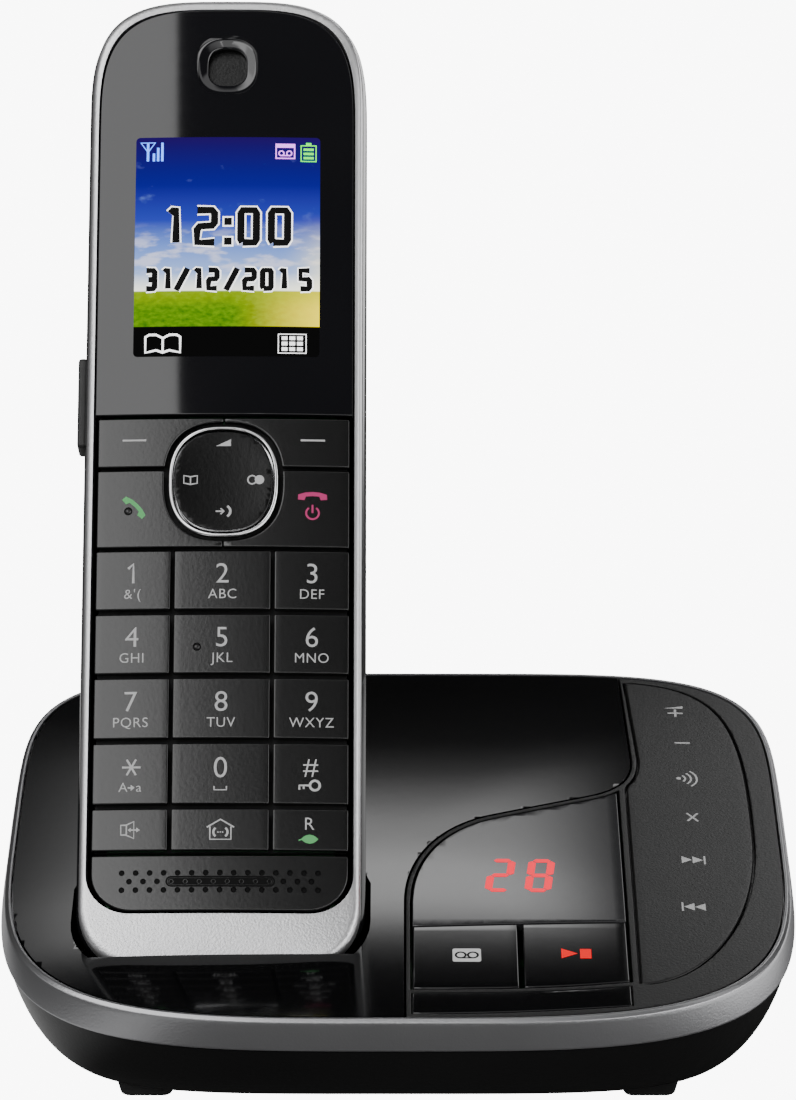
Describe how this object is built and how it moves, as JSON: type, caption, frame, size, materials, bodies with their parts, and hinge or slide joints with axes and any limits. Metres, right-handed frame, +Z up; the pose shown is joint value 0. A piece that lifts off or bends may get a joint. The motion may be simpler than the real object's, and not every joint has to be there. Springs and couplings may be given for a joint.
{
  "type": "cordless phone with base",
  "caption": "Cordless telephone handset with colour screen and keypad, leaning in a low charging base with answering machine keys and a two-digit counter.",
  "frame": {"origin": "centre of the whole object's footprint box, at the table under the feet", "axes": "+Z up, +X to the user's right, -Y to the front edge of the base, where the user sits"},
  "size_m": [0.1308, 0.1322, 0.1522],
  "materials": {
    "gloss_black": "polished black ABS and acrylic",
    "smoke_window": "smoked transparent acrylic",
    "shell_black": "fine satin black ABS",
    "satin_black": "matte black plastic",
    "silver_trim": "satin silver paint over ABS",
    "chrome_ring": "chrome plated plastic",
    "key_caps": "satin dark grey keys with printed legends",
    "rubber": "black rubber",
    "module": "moulded component bodies",
    "circuit_board": "green solder mask on glass laminate",
    "steel_parts": "zinc plated steel",
    "contact_gold": "gold flashed contacts",
    "battery_cells": "green shrink sleeve over a metal can"
  },
  "bodies": {
    "base": {"base_top_cover": "gloss_black", "key_deck": "satin_black", "counter_window": "smoke_window", "base_trim_ring": "silver_trim", "base_bottom_shell": "shell_black", "base_circuit_board": "circuit_board", "counter_display": "module", "base_loudspeaker": "steel_parts", "line_socket": "module", "power_socket": "module", "base_screw_left": "steel_parts", "base_screw_right": "steel_parts", "foot_front_left": "rubber", "foot_front_right": "rubber", "foot_rear_left": "rubber", "foot_rear_right": "rubber"},
    "handset": {"lens_panel": "gloss_black", "handset_rear_shell": "shell_black", "handset_front_frame": "silver_trim", "mic_grille": "key_caps", "key_mat": "rubber", "display_module": "module", "headset_socket": "module", "handset_circuit_board": "circuit_board", "earpiece_speaker": "steel_parts", "handset_loudspeaker": "steel_parts", "microphone": "steel_parts", "battery_contact_strip": "steel_parts", "charge_plate_left": "contact_gold", "charge_plate_right": "contact_gold", "battery_left": "battery_cells", "battery_right": "battery_cells"},
    "answer_key": {"answer_key": "gloss_black"},
    "play_stop_key": {"play_stop_key": "gloss_black"},
    "side_key_sheet": {"side_key_sheet": "satin_black"},
    "charge_pin_left": {"charge_pin_left": "contact_gold"},
    "charge_pin_right": {"charge_pin_right": "contact_gold"},
    "key_1": {"key_1": "key_caps"},
    "key_2": {"key_2": "key_caps"},
    "key_3": {"key_3": "key_caps"},
    "key_4": {"key_4": "key_caps"},
    "key_5": {"key_5": "key_caps"},
    "key_6": {"key_6": "key_caps"},
    "key_7": {"key_7": "key_caps"},
    "key_8": {"key_8": "key_caps"},
    "key_9": {"key_9": "key_caps"},
    "key_star": {"key_star": "key_caps"},
    "key_0": {"key_0": "key_caps"},
    "key_hash": {"key_hash": "key_caps"},
    "key_speaker": {"key_speaker": "key_caps"},
    "key_intercom": {"key_intercom": "key_caps"},
    "key_recall": {"key_recall": "key_caps"},
    "softkey_left": {"softkey_left": "key_caps"},
    "softkey_right": {"softkey_right": "key_caps"},
    "call_key": {"call_key": "key_caps"},
    "end_key": {"end_key": "key_caps"},
    "navigator_ring": {"navigator_ring": "chrome_ring"},
    "navigator_pad": {"navigator_pad": "key_caps"},
    "battery_cover": {"battery_cover": "shell_black"},
    "headset_cover": {"headset_cover": "rubber"}
  },
  "joints": [
    {"name": "handset_lift", "type": "slide", "parent": "base", "child": "handset", "axis": [0, 0.6157, 0.788], "range_m": [0, 0.1]},
    {"name": "key_1_press", "type": "slide", "parent": "handset", "child": "key_1", "axis": [0, 0.788, -0.6157], "range_m": [0, 0.0004], "stiffness_N_per_m": 4000},
    {"name": "key_2_press", "type": "slide", "parent": "handset", "child": "key_2", "axis": [0, 0.788, -0.6157], "range_m": [0, 0.0004], "stiffness_N_per_m": 4000},
    {"name": "key_3_press", "type": "slide", "parent": "handset", "child": "key_3", "axis": [0, 0.788, -0.6157], "range_m": [0, 0.0004], "stiffness_N_per_m": 4000},
    {"name": "key_4_press", "type": "slide", "parent": "handset", "child": "key_4", "axis": [0, 0.788, -0.6157], "range_m": [0, 0.0004], "stiffness_N_per_m": 4000},
    {"name": "key_5_press", "type": "slide", "parent": "handset", "child": "key_5", "axis": [0, 0.788, -0.6157], "range_m": [0, 0.0004], "stiffness_N_per_m": 4000},
    {"name": "key_6_press", "type": "slide", "parent": "handset", "child": "key_6", "axis": [0, 0.788, -0.6157], "range_m": [0, 0.0004], "stiffness_N_per_m": 4000},
    {"name": "key_7_press", "type": "slide", "parent": "handset", "child": "key_7", "axis": [0, 0.788, -0.6157], "range_m": [0, 0.0004], "stiffness_N_per_m": 4000},
    {"name": "key_8_press", "type": "slide", "parent": "handset", "child": "key_8", "axis": [0, 0.788, -0.6157], "range_m": [0, 0.0004], "stiffness_N_per_m": 4000},
    {"name": "key_9_press", "type": "slide", "parent": "handset", "child": "key_9", "axis": [0, 0.788, -0.6157], "range_m": [0, 0.0004], "stiffness_N_per_m": 4000},
    {"name": "key_star_press", "type": "slide", "parent": "handset", "child": "key_star", "axis": [0, 0.788, -0.6157], "range_m": [0, 0.0004], "stiffness_N_per_m": 4000},
    {"name": "key_0_press", "type": "slide", "parent": "handset", "child": "key_0", "axis": [0, 0.788, -0.6157], "range_m": [0, 0.0004], "stiffness_N_per_m": 4000},
    {"name": "key_hash_press", "type": "slide", "parent": "handset", "child": "key_hash", "axis": [0, 0.788, -0.6157], "range_m": [0, 0.0004], "stiffness_N_per_m": 4000},
    {"name": "key_speaker_press", "type": "slide", "parent": "handset", "child": "key_speaker", "axis": [0, 0.788, -0.6157], "range_m": [0, 0.0004], "stiffness_N_per_m": 4000},
    {"name": "key_intercom_press", "type": "slide", "parent": "handset", "child": "key_intercom", "axis": [0, 0.788, -0.6157], "range_m": [0, 0.0004], "stiffness_N_per_m": 4000},
    {"name": "key_recall_press", "type": "slide", "parent": "handset", "child": "key_recall", "axis": [0, 0.788, -0.6157], "range_m": [0, 0.0004], "stiffness_N_per_m": 4000},
    {"name": "softkey_left_press", "type": "slide", "parent": "handset", "child": "softkey_left", "axis": [0, 0.788, -0.6157], "range_m": [0, 0.0004], "stiffness_N_per_m": 4000},
    {"name": "softkey_right_press", "type": "slide", "parent": "handset", "child": "softkey_right", "axis": [0, 0.788, -0.6157], "range_m": [0, 0.0004], "stiffness_N_per_m": 4000},
    {"name": "call_key_press", "type": "slide", "parent": "handset", "child": "call_key", "axis": [0, 0.788, -0.6157], "range_m": [0, 0.0004], "stiffness_N_per_m": 4000},
    {"name": "end_key_press", "type": "slide", "parent": "handset", "child": "end_key", "axis": [0, 0.788, -0.6157], "range_m": [0, 0.0004], "stiffness_N_per_m": 4000},
    {"name": "navigator_up_down", "type": "hinge", "parent": "handset", "child": "navigator_ring", "pos_m": [-0.02875, 0.00189, 0.0845], "axis": [1, 0, 0], "range_deg": [-2.5, 2.5], "stiffness_Nm_per_rad": 0.4},
    {"name": "navigator_left_right", "type": "hinge", "parent": "navigator_ring", "child": "navigator_pad", "pos_m": [-0.02875, 0.00134, 0.08493], "axis": [0, 0.6157, 0.788], "range_deg": [-2, 2], "stiffness_Nm_per_rad": 0.4},
    {"name": "battery_cover_off", "type": "slide", "parent": "handset", "child": "battery_cover", "axis": [0, 0.788, -0.6157], "range_m": [0, 0.012]},
    {"name": "headset_cover_open", "type": "hinge", "parent": "handset", "child": "headset_cover", "pos_m": [-0.05275, 0.01337, 0.08619], "axis": [0, -0.788, 0.6157], "range_deg": [0, 100]},
    {"name": "answer_key_press", "type": "slide", "parent": "base", "child": "answer_key", "axis": [0, 0.1132, -0.9936], "range_m": [0, 0.0005], "stiffness_N_per_m": 4000},
    {"name": "play_stop_key_press", "type": "slide", "parent": "base", "child": "play_stop_key", "axis": [0, 0.1132, -0.9936], "range_m": [0, 0.0005], "stiffness_N_per_m": 4000},
    {"name": "side_key_sheet_press", "type": "slide", "parent": "base", "child": "side_key_sheet", "axis": [0, 0.1132, -0.9936], "range_m": [0, 0.0003], "stiffness_N_per_m": 6000},
    {"name": "charge_pin_left_travel", "type": "slide", "parent": "base", "child": "charge_pin_left", "axis": [0, -0.6157, -0.788], "range_m": [0, 0.0008], "stiffness_N_per_m": 1200},
    {"name": "charge_pin_right_travel", "type": "slide", "parent": "base", "child": "charge_pin_right", "axis": [0, -0.6157, -0.788], "range_m": [0, 0.0008], "stiffness_N_per_m": 1200}
  ]
}
